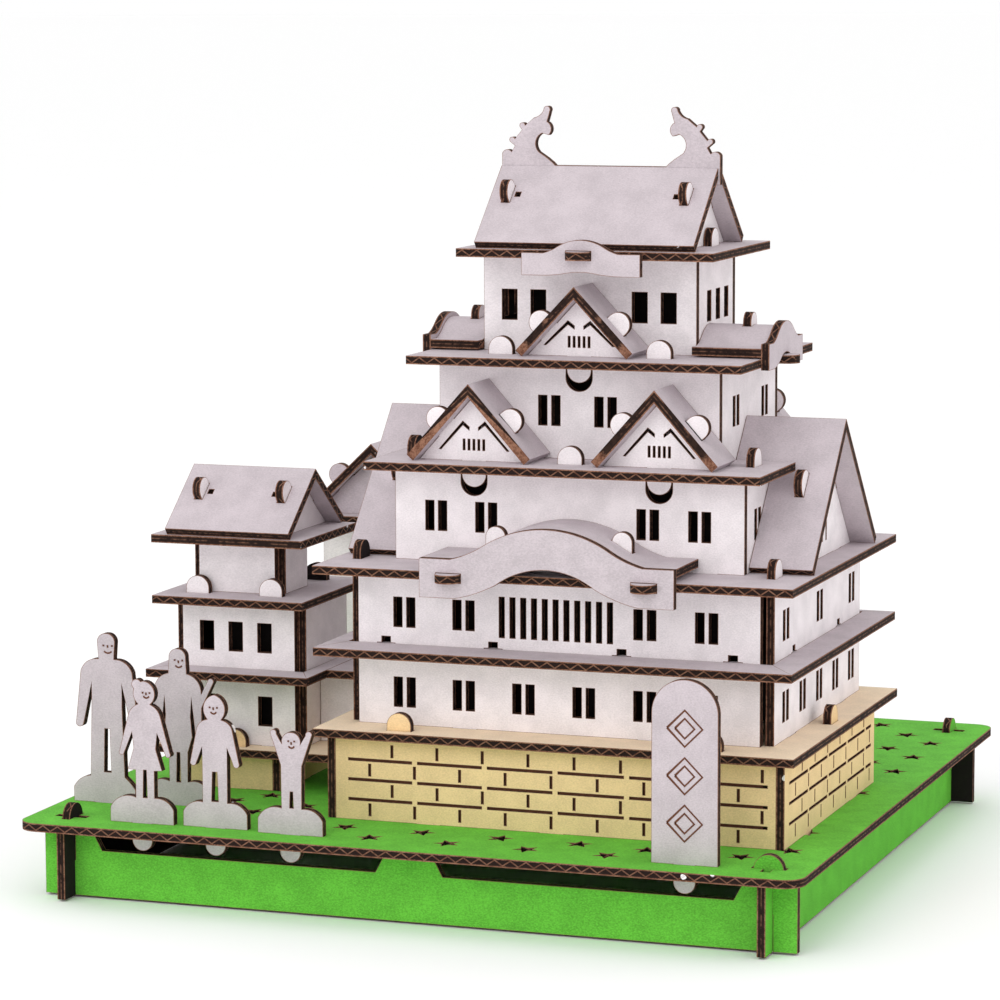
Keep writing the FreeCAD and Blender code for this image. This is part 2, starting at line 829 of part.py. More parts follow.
def small_gables():
    faces = []
    roofs = []
    span = upper_front - fit - (hall_front - gable_overhang)
    back_gap = hall_back + gable_overhang - (upper_back + fit)
    for s in (-1, 1):
        c = gable_middle + s * gable_spread
        slits = gable_slits(c, eave3_top)
        for y in (hall_front, hall_back - board):
            faces.append(gable_face("front", y, c, eave3_top, gable_half, gable_rise, 0.5, tab_rise, slits))
        roofs.append(gable_roof("front", c, eave3_top, gable_half, gable_rise,
                                hall_front - gable_overhang, span, hall_front, 0.5))
        roofs.append(gable_roof("front", c, eave3_top, gable_half, gable_rise,
                                upper_back + fit, back_gap, hall_back - board, 0.5))
    return Part.makeCompound(faces), Part.makeCompound(roofs)


def centre_gables():
    start = upper_front - gable_overhang
    span = crown_front - fit - start
    back_gap = upper_back + gable_overhang - (crown_back + fit)
    slits = gable_slits(centre_x, eave4_top, 0.9)
    faces = [gable_face("front", y, centre_x, eave4_top, centre_half, centre_rise, 0.42, tab_rise, slits)
             for y in (upper_front, upper_back - board)]
    roofs = [gable_roof("front", centre_x, eave4_top, centre_half, centre_rise, start, span, upper_front, 0.42),
             gable_roof("front", centre_x, eave4_top, centre_half, centre_rise,
                        crown_back + fit, back_gap, upper_back - board, 0.42)]
    return Part.makeCompound(faces), Part.makeCompound(roofs)


# Side gables: tall roofs that start on eave 2 and reach storey 4 through a notch in eave 3

side_face_x = (side_edge - side_face_inset, 2 * plate_x - side_edge + side_face_inset - board)
side_face_pegs = (side_ridge_y - 12.0, side_ridge_y + 12.0)


def side_gable_faces():
    pieces = []
    slits = [around(side_ridge_y + side_slit_pitch * (i - 1.5), side_slit_z, 0.8, side_slit_height)
             for i in range(4)]
    for x in side_face_x:
        face = gable_face("side", x, side_ridge_y, eave2_top, side_half, side_rise, side_tab_share, 0, slits, 5.4)
        pegs = [sheet("side", x, rect(c - tab_width / 2, keep_top, c + tab_width / 2, eave2_top + 1))
                for c in side_face_pegs]
        pieces.append(join([face] + pegs))
    return Part.makeCompound(pieces)


def side_gable_slopes():
    """Two boards that butt at the ridge, on the right and mirrored on the left."""
    pieces = []
    inner = upper_x + upper_half + fit
    for mirrored_side in (False, True):
        wall_face = hall_x + hall_half + fit
        if mirrored_side:
            inner = 2 * plate_x - (upper_x - upper_half - fit)
            wall_face = 2 * plate_x - (hall_x - hall_half - fit)
        roof = gable_roof("side", side_ridge_y, eave2_top, side_half, side_rise,
                          inner, side_edge - inner, side_face_x[0], side_tab_share, 5.4)
        step = Part.makeBox(wall_face - inner + 1, 80, hall_top + fit - eave2_top + 1,
                            FreeCAD.Vector(inner - 1, side_ridge_y - 40, eave2_top - 1))
        roof = roof.cut(step)
        knife = Part.makeBox(100, 60, 60, FreeCAD.Vector(0, side_ridge_y, eave2_top - 5))
        halves = [roof.cut(knife), roof.common(knife)]
        for half_roof in halves:
            pieces.append(mirror_x(half_roof, plate_x) if mirrored_side else half_roof)
    return Part.makeCompound(pieces)


# Arched gables at both sides of eave 4

def flank_set():
    top = arch_line(flank_y, flank_half, flank_flat, flank_bend, flank_low, flank_mid, flank_high)
    under = arch_line(flank_y, flank_half, flank_flat - 0.8, flank_bend - 1.2,
                      flank_under_low, flank_under_mid, flank_under_high)
    drop = flank_skin_drop
    over = arch_line(flank_y, flank_half, flank_flat, flank_bend,
                     flank_low - drop, flank_mid - drop, flank_high - drop)
    drop += board
    skin = arch_line(flank_y, flank_half, flank_flat, flank_bend,
                     flank_low - drop, flank_mid - drop, flank_high - drop)
    hole = around(flank_y, upper_top + board / 2, tab_width + 2 * fit, board + 2 * fit)
    edge = plate_x + eave4_half_x
    rib_x = edge - flank_rib_inset
    boards = []
    roofs = []
    ribs = []
    gap = drop + fit
    upper = arch_line(flank_y, flank_rib_half, flank_rib_half - fit, flank_bend,
                      flank_low - gap, flank_mid - gap, flank_high - gap)
    foot = [(flank_y - flank_rib_half, eave4_top), (flank_y + flank_rib_half, eave4_top)]
    r = rib_tab_width / 2
    neck = flank_high - drop + 2.0
    stem = [(flank_y - r, eave4_top + board), (flank_y + r, eave4_top + board), (flank_y + r, neck),
            ((flank_y, neck + r), (flank_y - r, neck))]
    for s in (1, -1):
        face = punch(sheet("side", edge, arch_over(top, under)), "side", edge, [hole])
        wall_face = crown_x + crown_half if s == 1 else 2 * plate_x - (crown_x - crown_half)
        cover = sheet("side", wall_face + fit, arch_over(over, skin), edge - wall_face - fit)
        cover = cover.cut(sheet("plan", eave4_top, slot_y(rib_x, flank_y, rib_tab_width), 12))
        rib = join([sheet("side", rib_x, foot + reverse_line(upper)), sheet("side", rib_x, stem)])
        if s == -1:
            face, cover, rib = [mirror_x(p, plate_x) for p in (face, cover, rib)]
        boards.append(face)
        roofs.append(cover)
        ribs.append(rib)
    return Part.makeCompound(boards), Part.makeCompound(roofs), Part.makeCompound(ribs)


# Top roof

roof_end_x = (roof_end_left, crown_side_x[1] - fit - board)
roof_end_pegs = (roof_ridge_y - 6.0, roof_ridge_y + 6.0)
roof_half = roof_ridge_y - roof_eave_y - 1.0
roof_rise = roof_ridge_z + 0.7 - eave5_top - board / 0.76


def roof_slopes():
    """Front and back boards that butt against the faces of the ridge board."""
    roof = folded_roof("side", roof_ridge_y, eave5_top, roof_half, roof_rise, roof_left, roof_right - roof_left)
    cuts = [slope_tab("side", x - fit, roof_ridge_y, eave5_top, roof_half, roof_rise, side, roof_tab_share,
                      roof_tab_width, board + 2 * fit, 3.0, fit) for x in roof_end_x for side in (-1, 1)]
    reliefs = (roof_end_x[0] + board + relief_gap, roof_end_x[1] - relief_gap - relief_length)
    cuts += [slope_tab("side", x, roof_ridge_y, eave5_top, roof_half, roof_rise, side, roof_tab_share,
                       relief_width, relief_length) for x in reliefs for side in (-1, 1)]
    gap = board / 2 + fit
    cuts.append(Part.makeBox(80, 2 * gap, 40, FreeCAD.Vector(roof_left - 5, roof_ridge_y - gap, eave5_top)))
    roof = roof.cut(cuts)
    knife = Part.makeBox(100, 60, 60, FreeCAD.Vector(-20, roof_ridge_y, eave5_top - 5))
    return roof.cut(knife), roof.common(knife)


def roof_ends():
    pieces = []
    for x in roof_end_x:
        face = gable_face("side", x, roof_ridge_y, eave5_top, roof_half, roof_rise, roof_tab_share, 0, [],
                          roof_tab_width)
        pegs = [sheet("side", x, rect(c - tab_width / 2, crown_top, c + tab_width / 2, eave5_top + 1))
                for c in roof_end_pegs]
        corner = FreeCAD.Vector(x - 4, roof_ridge_y - board / 2 - fit, roof_ridge_z - ridge_depth - fit)
        seat = Part.makeBox(10, board + 2 * fit, 20, corner)
        pieces.append(join([face] + pegs).cut(seat))
    return Part.makeCompound(pieces)


def placed(line, at, across, z, up):
    """An outline drawn on a grid, set at a place with its steps across and up; a negative one turns it."""

    def place(u, w):
        return (at + across * u, z + up * w)

    return [(place(*s[0]), place(*s[1])) if isinstance(s[0], tuple) else place(*s) for s in line]


def ridge_board():
    """The ridge with a fish ornament at each end, cut from one sheet."""
    fish = [(0.0, 0.1), (0.0, 2.4), ((0.7, 3.1), (2.0, 2.7)), (2.7, 3.9), (1.6, 4.8), ((1.8, 5.6), (2.7, 5.3)),
            (4.2, 7.1), (3.7, 7.8), ((4.0, 8.5), (4.9, 8.0)), (6.8, 9.6), ((8.2, 10.3), (8.8, 11.2)),
            ((9.6, 11.9), (10.1, 10.9)), ((9.8, 9.8), (9.5, 8.8)), ((10.4, 7.4), (9.8, 6.1)), (8.5, 6.5),
            ((7.1, 4.6), (7.8, 2.7)), (9.4, 1.65), (10.7, 0.65), (11.2, 0.1)]
    left = roof_left + fit
    right = roof_right + 4 * fit
    low = roof_ridge_z - ridge_depth
    outline = [(left, low), (right, low)]
    outline += placed(fish, right, -ornament_step, roof_ridge_z, ornament_step)
    outline += placed(reverse_line(fish), left, ornament_step, roof_ridge_z, ornament_step)
    return sheet("front", roof_ridge_y - board / 2, outline)


def top_arch_board():
    """The small curved piece that hooks over the tab in the middle of eave 5."""
    y = eave5_front - board
    top = arch_line(plate_x, top_arch_half, top_arch_flat, top_arch_bend,
                    eave5_top - 0.4, eave5_top + 0.9, eave5_top + 2.1)
    under = arch_line(plate_x, top_arch_half, top_arch_flat - 0.6, top_arch_bend - 0.8,
                      crown_top - 3.0, crown_top - 2.7, crown_top - 2.3)
    hole = around(top_arch_tab, crown_top + board / 2, tab_width + 2 * fit, board + 2 * fit)
    return punch(sheet("front", y, arch_over(top, under)), "front", y, [hole])


# Small keep

small_stone_x = (small_x - small_side, small_x + small_stone_half - board)
small_peg_y = -22.0
small_pegs = (small_x - 7.0, small_x + 7.0)
small_side_x = (small_x - small_side, small_x + small_side - board)
small_top_middle = small_x + small_top_x_shift
small_top_x = (small_top_middle - small_top_half - board, small_top_middle + small_top_half)
small_eave1_top = small_eave1_z + board
small_eave2_top = small_eave2_z + board
small_eave3_top = small_eave3_z + board


def small_stone():
    top = small_floor - board
    right = small_stone_x[1]
    left = small_stone_x[0] + board
    front = wall("front", small_stone_front, left, right, ground_top, top, (small_x,), (small_x,))
    sides = [wall("side", x, small_stone_front, small_back, ground_top, top, (), (small_peg_y,))
             for x in small_stone_x]
    return Part.makeCompound([front] + sides)


def small_terrace():
    z = small_floor - board
    slots = [slot_x(small_x, small_stone_front)] + [slot_x(c, small_front) for c in small_pegs]
    front = small_stone_front - 2.4
    return plate(small_x - small_eave_half, front, stone_side_x[0] - fit, small_back + 3.0, z, slots)


def small_walls():
    pairs = [(-1, small_window_high), (0, small_window_high), (1, small_window_high)]
    pairs += [(-1, small_window_low), (1, small_window_low)]
    middle = small_x - small_window_shift
    windows = [around(middle + small_window_pitch * i, z, small_window_width, small_window_height)
               for i, z in pairs]
    heads = (small_x - 8.6, small_x + 6.9)
    front = wall("front", small_front, small_x - small_half, small_x + small_half, small_floor, small_eave2_z,
                 heads, small_pegs, windows)
    back = wall("front", small_back - board, small_x - small_half, small_x + small_half,
                small_floor, small_eave2_z, heads)
    sides = [wall("side", x, small_front + board + fit, small_back - board - fit, small_floor, small_eave2_z)
             for x in small_side_x]
    return Part.makeCompound([front, back] + sides)


def small_eave1():
    x0, x1 = small_x - small_eave_half - 1.2, small_x + small_eave_half + 1.2
    y0, y1 = small_eave_front, small_back + 4.0
    u0, u1 = small_x - small_side - fit, small_x + small_side + fit
    v0, v1 = small_front - fit, small_back + fit
    corners = [((x0, y0), (x1, y0), (u1, v0), (u0, v0)), ((x1, y0), (x1, y1), (u1, v1), (u1, v0)),
               ((x1, y1), (x0, y1), (u0, v1), (u1, v1)), ((x0, y1), (x0, y0), (u0, v0), (u0, v1))]
    return Part.makeCompound([sheet("plan", small_eave1_z, list(c)) for c in corners])


def small_eave2():
    heads = (small_x - 8.6, small_x + 6.9)
    slots = [slot_x(c, y) for c in heads for y in (small_front, small_back - board)]
    return plate(small_x - small_eave_half, small_eave_front + 0.8, small_x + small_eave_half, small_back + 4.0,
                 small_eave2_z, slots)


def small_storey3():
    front = small_front + 2.6
    walls = [wall("front", y, small_top_middle - small_top_half, small_top_middle + small_top_half,
                  small_eave2_top, small_eave3_z)
             for y in (front, small_top_back - board)]
    walls += [wall("side", x, front + board + fit, small_top_back - board - fit, small_eave2_top, small_eave3_z)
              for x in small_top_x]
    return Part.makeCompound(walls)


small_roof_end_x = (small_roof_left + small_end_inset, small_roof_right - small_end_inset - board)
small_roof_rise = small_ridge_z - small_eave3_top - board / 0.72


def small_eave3():
    return plate(small_x - small_eave_half, small_eave_front + 0.8, small_x + small_eave_half,
                 2 * small_ridge_y - small_eave_front - 0.8, small_eave3_z)


def small_roof():
    roof = folded_roof("side", small_ridge_y, small_eave3_top, small_roof_half, small_roof_rise,
                       small_roof_left, small_roof_right - small_roof_left)
    cuts = [slope_tab("side", x - fit, small_ridge_y, small_eave3_top, small_roof_half, small_roof_rise, side,
                      roof_tab_share, roof_tab_width, board + 2 * fit, 3.0, fit)
            for x in small_roof_end_x for side in (-1, 1)]
    reliefs = (small_roof_end_x[0] + board + relief_gap, small_roof_end_x[1] - relief_gap - relief_length)
    cuts += [slope_tab("side", x, small_ridge_y, small_eave3_top, small_roof_half, small_roof_rise, side,
                       roof_tab_share, relief_width, relief_length) for x in reliefs for side in (-1, 1)]
    roof = roof.cut(cuts)
    knife = Part.makeBox(100, 60, 60, FreeCAD.Vector(-120, small_ridge_y, small_eave3_top - 5))
    ends = [gable_face("side", x, small_ridge_y, small_eave3_top, small_roof_half, small_roof_rise,
                       roof_tab_share, 0, [], roof_tab_width) for x in small_roof_end_x]
    return Part.makeCompound([roof.cut(knife), roof.common(knife)]), Part.makeCompound(ends)


def corridor():
    """The low wing that ties the small keep to the main keep."""
    left = small_side_x[1] + board + fit
    right = keep_side_x[0] - fit
    stone = stone_side_x[0] - fit
    ledge = plate_x + terrace_shift - terrace_half_x - fit
    outline = [(left, small_floor), (stone, small_floor), (stone, stone_top - fit), (ledge, stone_top - fit),
               (ledge, terrace_top + fit), (right, terrace_top + fit), (right, small_eave1_z),
               (left, small_eave1_z)]
    walls = [sheet("front", y, outline) for y in (corridor_front, corridor_back)]
    eave_left = small_x + small_eave_half + 1.2 + fit
    eave = plate(eave_left, corridor_front - 5.0, right, small_back + 4.0, small_eave1_z)
    return Part.makeCompound(walls), eave


# Rear keep, of which the photograph shows only the roof

def rear_keep():
    walls = [wall("front", y, rear_x - rear_half, rear_x + rear_half, ground_top, rear_top, (), (rear_x,))
             for y in (rear_front, rear_back - board)]
    walls += [wall("side", x, rear_front + board, rear_back - board, ground_top, rear_top)
              for x in (rear_x - rear_half, rear_x + rear_half - board)]
    eave = plate(rear_x - rear_half - rear_eave, rear_front - rear_eave, rear_x + rear_half + rear_eave,
                 rear_back + rear_eave, rear_top)
    base = rear_top + board
    face_y = (rear_front, rear_back - board)
    roof = folded_roof("front", rear_x, base, rear_half + 1.5, rear_rise,
                       rear_front - 3.0, rear_back - rear_front + 6.0)
    cuts = [slope_tab("front", y - fit, rear_x, base, rear_half + 1.5, rear_rise, side, 0.5, 4.6,
                      board + 2 * fit, 3.0, fit) for y in face_y for side in (-1, 1)]
    faces = [gable_face("front", y, rear_x, base, rear_half + 1.5, rear_rise, 0.5, 0, []) for y in face_y]
    return Part.makeCompound(walls), eave, Part.makeCompound([roof.cut(cuts)] + faces)


# Figures and name board

def standing_places():
    places = [(x, y, figure_tab) for x, y in figure_places.values()]
    places.append((name_x, name_y, figure_tab))
    return places


name_x = ground_half_x - 23.0
name_y = -ground_half_y + 6.1
figure_places = {
    "figure_man": (8.4 - ground_half_x, 21.6 - ground_half_y),
    "figure_woman": (22.7 - ground_half_x, 24.0 - ground_half_y),
    "figure_girl": (23.1 - ground_half_x, 6.8 - ground_half_y),
    "figure_boy": (37.8 - ground_half_x, 7.4 - ground_half_y),
    "figure_child": (53.3 - ground_half_x, 6.5 - ground_half_y),
}
# Right half of each figure from leg to crown, where it leans from its base's middle, and the gap of its legs
figure_forms = {
    "figure_man": {
        "half": [(3.6, 5.2), (3.2, 19.0), (3.15, 23.5), (4.95, 15.3), ((5.8, 14.6), (6.5, 15.8)), (5.4, 25.6),
                 ((4.3, 27.2), (1.6, 28.0)), (1.85, 31.4), ((1.25, 32.6), (0.0, 33.0))],
        "lean": 0.7, "gap": (0.75, 6.0, 14.5)},
    "figure_woman": {
        "half": [(1.9, 4.6), (2.0, 10.4), (2.95, 13.4), (2.6, 17.4), (2.8, 21.4), (3.6, 13.9),
                 ((4.3, 13.2), (5.0, 13.9)), (4.9, 22.4), ((3.9, 24.6), (1.9, 25.6)), (1.75, 28.7),
                 ((1.3, 29.9), (0.0, 30.4))],
        "lean": 0.2, "gap": (0.45, 4.5, 10.3)},
    "figure_girl": {
        "half": [(1.9, 4.9), (1.9, 10.1), (3.5, 10.2), (2.25, 14.3), (2.55, 17.4), (4.2, 13.3),
                 ((4.8, 12.8), (5.15, 13.7)), (3.2, 20.8), ((2.4, 22.0), (1.2, 22.7)), ((2.2, 24.9), (0.0, 27.1))],
        "lean": 0.7, "gap": (0.45, 4.9, 10.2)},
    "figure_boy": {
        "half": [(2.5, 4.8), (2.5, 15.4), (3.75, 12.1), ((4.5, 11.6), (4.95, 12.4)), (3.55, 18.9),
                 ((2.7, 20.0), (1.35, 20.5)), ((2.15, 23.0), (0.0, 25.2))],
        "lean": 0.0, "gap": (0.7, 5.0, 10.6)},
    "figure_child": {
        "half": [(2.0, 4.9), (2.1, 13.0), (2.45, 14.0), (4.2, 19.0), ((3.7, 19.6), (2.9, 18.8)), (1.8, 16.9),
                 ((1.5, 18.6), (0.0, 19.25))],
        "lean": 0.3, "gap": (0.4, 5.0, 8.1)},
}


def limb(y, u0, w0, u1, w1, r):
    """A straight limb with round ends."""
    length = math.hypot(u1 - u0, w1 - w0)
    a, b = (u1 - u0) / length * r, (w1 - w0) / length * r
    outline = [(u0 + b, w0 - a), ((u0 - a, w0 - b), (u0 - b, w0 + a)), (u1 - b, w1 + a),
               ((u1 + a, w1 + b), (u1 + b, w1 - a))]
    return sheet("front", y, outline)


def disc(y, u, w, r):
    return sheet("front", y, [(u - r, w), ((u, w + r), (u + r, w)), ((u, w - r), (u - r, w))])


def figure(name):
    """A flat figure on a round-shouldered base whose tab stands in the ground plate."""
    x, y = figure_places[name]
    form = figure_forms[name]
    k = figure_step
    z = ground_top

    def half(way):
        steps = placed(form["half"], x + k * form["lean"], way * k, z, k)
        side = x + way * figure_base
        bend = ((x + way * 0.83 * figure_base, z + 4.2 * k), steps[0])
        return [(side, z), (side, z + 2.8 * k), bend] + steps[1:]

    t = figure_tab / 2
    deep = figure_short_tab if name == "figure_man" else figure_tab_depth
    bend = min(t, deep)
    outline = [(x - t, z), (x - t, z - deep + bend), ((x, z - deep), (x + t, z - deep + bend)), (x + t, z)]
    solid = sheet("front", y, outline + half(1) + reverse_line(half(-1))[1:])
    wide, low, high = form["gap"]
    c = x + k * form["lean"]
    solid = punch(solid, "front", y, [[(c - k * wide, z + k * low), (c + k * wide, z + k * low),
                                       (c + 0.7 * k * wide, z + k * high), (c - 0.7 * k * wide, z + k * high)]])
    if name == "figure_girl":
        solid = join([solid, disc(y, c - 1.5 * k, z + 26.4 * k, k)])
    if name == "figure_woman":
        solid = join([solid, limb(y, c + 4.4 * k, z + 19.4 * k, c + 6.9 * k, z + 24.4 * k, 0.6 * k)])
    return solid


def name_board():
    z = ground_top
    half = name_width / 2
    t = figure_tab / 2
    outline = [(name_x - half, z), (name_x - t, z), (name_x - t, z - figure_tab_depth + t),
               ((name_x, z - figure_tab_depth), (name_x + t, z - figure_tab_depth + t)), (name_x + t, z),
               (name_x + half, z), (name_x + half, z + name_height - half),
               ((name_x, z + name_height), (name_x - half, z + name_height - half))]
    return sheet("front", name_y, outline)


def build():
    nodes = {"ground_plate": ground_plate()}
    nodes.update(base_panels())
    nodes.update(stone_walls())
    nodes["terrace_plate"] = terrace_plate()
    nodes["keep_front_wall"] = keep_front_wall()
    nodes["keep_back_wall"] = keep_back_wall()
    nodes["keep_left_wall"] = keep_side_wall(keep_side_x[0])
    nodes["keep_right_wall"] = keep_side_wall(keep_side_x[1])
    nodes["eave1_strips"] = eave1_strips()
    nodes["eave2_plate"] = eave2_plate()
    nodes["arch_boards"] = arch_boards()
    nodes["arch_roofs"] = arch_roofs()
    nodes["arch_ribs"] = arch_ribs()
    nodes["storey3_walls"] = storey3_walls()
    nodes["eave3_plate"] = eave3_plate()
    nodes["side_gable_faces"] = side_gable_faces()
    nodes["side_gable_slopes"] = side_gable_slopes()
    nodes["small_gable_faces"], nodes["small_gable_roofs"] = small_gables()
    nodes["storey4_walls"] = storey4_walls()
    nodes["eave4_plate"] = eave4_plate()
    nodes["centre_gable_faces"], nodes["centre_gable_roofs"] = centre_gables()
    nodes["flank_boards"], nodes["flank_roofs"], nodes["flank_ribs"] = flank_set()
    nodes["storey5_walls"] = storey5_walls()
    nodes["eave5_plate"] = eave5_plate()
    nodes["top_arch_board"] = top_arch_board()
    nodes["roof_ends"] = roof_ends()
    nodes["roof_front_slope"], nodes["roof_back_slope"] = roof_slopes()
    nodes["ridge_board"] = ridge_board()
    nodes["small_stone_walls"] = small_stone()
    nodes["small_terrace_plate"] = small_terrace()
    nodes["small_keep_walls"] = small_walls()
    nodes["small_eave1_strips"] = small_eave1()
    nodes["small_eave2_plate"] = small_eave2()
    nodes["small_storey3_walls"] = small_storey3()
    nodes["small_eave3_plate"] = small_eave3()
    nodes["small_roof_slopes"], nodes["small_roof_ends"] = small_roof()
    nodes["corridor_walls"], nodes["corridor_eave"] = corridor()
    nodes["rear_keep_walls"], nodes["rear_keep_eave"], nodes["rear_keep_roof"] = rear_keep()
    for name in figure_places:
        nodes[name] = figure(name)
    nodes["name_board"] = name_board()
    return nodes


def export(nodes):
    os.makedirs("parts", exist_ok=True)
    triangles = 0
    for name, shape in nodes.items():
        shape.exportStep(f"parts/{name}.step")
        count = len(shape.tessellate(0.1)[1])
        triangles += count
        print(name, len(shape.Solids), "solids", round(shape.Volume, 1), "mm3", count, "triangles")
    print(len(nodes), "nodes", triangles, "triangles")


export(build())
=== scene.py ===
import math
import bpy
import bmesh
from mathutils import Matrix, Vector


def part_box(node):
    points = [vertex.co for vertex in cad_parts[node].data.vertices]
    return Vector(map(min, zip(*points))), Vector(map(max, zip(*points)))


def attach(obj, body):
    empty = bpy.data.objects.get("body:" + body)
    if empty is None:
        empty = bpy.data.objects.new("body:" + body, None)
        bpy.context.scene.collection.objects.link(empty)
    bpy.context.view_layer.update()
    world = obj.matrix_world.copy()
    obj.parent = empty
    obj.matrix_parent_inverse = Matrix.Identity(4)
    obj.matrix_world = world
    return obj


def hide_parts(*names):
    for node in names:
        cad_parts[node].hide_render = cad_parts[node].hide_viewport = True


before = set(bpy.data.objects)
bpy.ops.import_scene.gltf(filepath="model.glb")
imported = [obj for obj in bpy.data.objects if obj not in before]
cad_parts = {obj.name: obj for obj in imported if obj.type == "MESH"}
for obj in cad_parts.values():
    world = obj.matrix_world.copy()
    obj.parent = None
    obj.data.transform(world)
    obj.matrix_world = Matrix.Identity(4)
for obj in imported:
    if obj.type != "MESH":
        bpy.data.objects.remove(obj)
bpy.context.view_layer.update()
mm = 0.001
print("frame loaded:", len(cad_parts), "nodes")

boardSheet = {
    "thickness": 1.6,  # mm, the E-flute board
    "widest": 1.9,  # mm, over the mean width of any cut edge
    "flutePitch": 3.0,  # mm from crest to crest
    "scorch": 0.19,  # mm of burnt outline on the liner
}

paints = {  # sRGB, as seen on the model
    "white": (246, 239, 241),
    "grey": (199, 188, 193),
    "green": (104, 190, 62),
    "stone": (240, 208, 158),
    "terrace": (243, 221, 192),
    "burnt": (104, 66, 50),
    "burntLight": (152, 110, 88),
    # painted shade of the flute hollows in the cut edges
    "fluteShade": (34, 20, 16),
    "shade": (26, 20, 20),
    "floor": (255, 255, 255),
}


def paint(name):  # sRGB to the linear colour that a socket takes
    def linear(c):
        c = c / 255
        return c / 12.92 if c <= 0.04045 else ((c + 0.055) / 1.055) ** 2.4
    return tuple(linear(c) for c in paints[name]) + (1.0,)


class Sock:  # a node's socket that takes part in Python sums
    def __init__(self, graph, socket):
        self.graph = graph
        self.socket = socket

    def op(self, kind, *rest):
        return self.graph.make("ShaderNodeMath", {"operation": kind}, (self,) + rest)[0]

    def __add__(self, other):
        return self.op("ADD", other)

    __radd__ = __add__

    def __mul__(self, other):
        return self.op("MULTIPLY", other)

    __rmul__ = __mul__

    def __sub__(self, other):
        return self.op("SUBTRACT", other)

    def __rsub__(self, other):
        return self.graph.make("ShaderNodeMath", {"operation": "SUBTRACT"}, (other, self))[0]


class Graph:  # the nodes of one material or of the world
    def __init__(self, owner):
        self.owner = owner
        owner.use_nodes = True
        self.tree = owner.node_tree
        self.tree.nodes.clear()

    def make(self, kind, settings=None, sockets=()):
        node = self.tree.nodes.new(kind)
        for key, value in (settings or {}).items():
            setattr(node, key, value)
        pairs = sockets.items() if isinstance(sockets, dict) else enumerate(sockets)
        for key, value in pairs:
            if isinstance(value, Sock):
                self.tree.links.new(value.socket, node.inputs[key])
            else:
                node.inputs[key].default_value = value
        return [Sock(self, out) for out in node.outputs]

    def place(self, stretch=(1, 1, 1)):  # Object coordinates in mm
        spot = self.make("ShaderNodeTexCoord")[3]
        scale = tuple(1000 * s for s in stretch)
        return self.make("ShaderNodeMapping", {}, {"Vector": spot, "Scale": scale})[0]

    def noise(self, where, scale, detail=3.0):
        return self.make("ShaderNodeTexNoise", {}, {"Vector": where, "Scale": scale, "Detail": detail})[0]

    def attribute(self, name):
        return self.make("ShaderNodeAttribute", {"attribute_name": name})

    def mix(self, amount, first, second):
        return self.make("ShaderNodeMix", {"data_type": "RGBA"}, {0: amount, 6: first, 7: second})[2]

    def ramp(self, value, low, high, start=0.0, end=1.0):  # smooth step from start to end
        sockets = {"Value": value, "From Min": low, "From Max": high, "To Min": start, "To Max": end}
        return self.make("ShaderNodeMapRange", {"interpolation_type": "SMOOTHSTEP"}, sockets)[0]

    def finish(self, colour, roughness, height, depth):
        normal = self.make("ShaderNodeBump", {}, {"Height": height, "Strength": 1.0, "Distance": depth})[0]
        sockets = {"Base Color": colour, "Roughness": roughness, "Normal": normal, "Specular IOR Level": 0.25}
        shader = self.make("ShaderNodeBsdfPrincipled", {}, sockets)[0]
        self.make("ShaderNodeOutputMaterial", {}, {"Surface": shader})
        return self.owner


def shifted(colour, factor):  # the same paint, lighter or darker
    return tuple(min(1.0, c * factor) for c in colour[:3]) + (1.0,)


paperLook = {  # mottling and fibres of each liner
    "white": {"deep": 0.86, "high": 1.05, "fibre": 0.5},
    "grey": {"deep": 0.84, "high": 1.07, "fibre": 0.6},
    "green": {"deep": 0.72, "high": 1.16, "fibre": 0.7},
    "stone": {"deep": 0.86, "high": 1.06, "fibre": 0.6},
    "terrace": {"deep": 0.86, "high": 1.06, "fibre": 0.6},
}


def paperMaterial(name):
    look = paperLook[name]
    graph = Graph(bpy.data.materials.new("paper" + name.capitalize()))
    where = graph.place()
    fibres = graph.noise(graph.place((1.0, 2.4, 1.7)), 2.6, 6.0)
    clouds = graph.noise(where, 0.22, 4.0)
    specks = graph.noise(where, 5.5, 2.0)
    tone = fibres * look["fibre"] + clouds * (1 - look["fibre"]) + specks * 0.25 - 0.125
    colour = paint(name)
    mottled = graph.mix(graph.ramp(tone, 0.32, 0.68), shifted(colour, look["deep"]), shifted(colour, look["high"]))
    rim = graph.attribute("rim")[2]
    scorch = graph.ramp(rim + (specks - 0.5) * 0.5, 0.25, 0.8)
    brown = graph.mix(fibres, paint("burnt"), paint("burntLight"))
    return graph.finish(graph.mix(scorch, mottled, brown), 0.92, fibres * 0.6 + specks * 0.4, 0.00006)


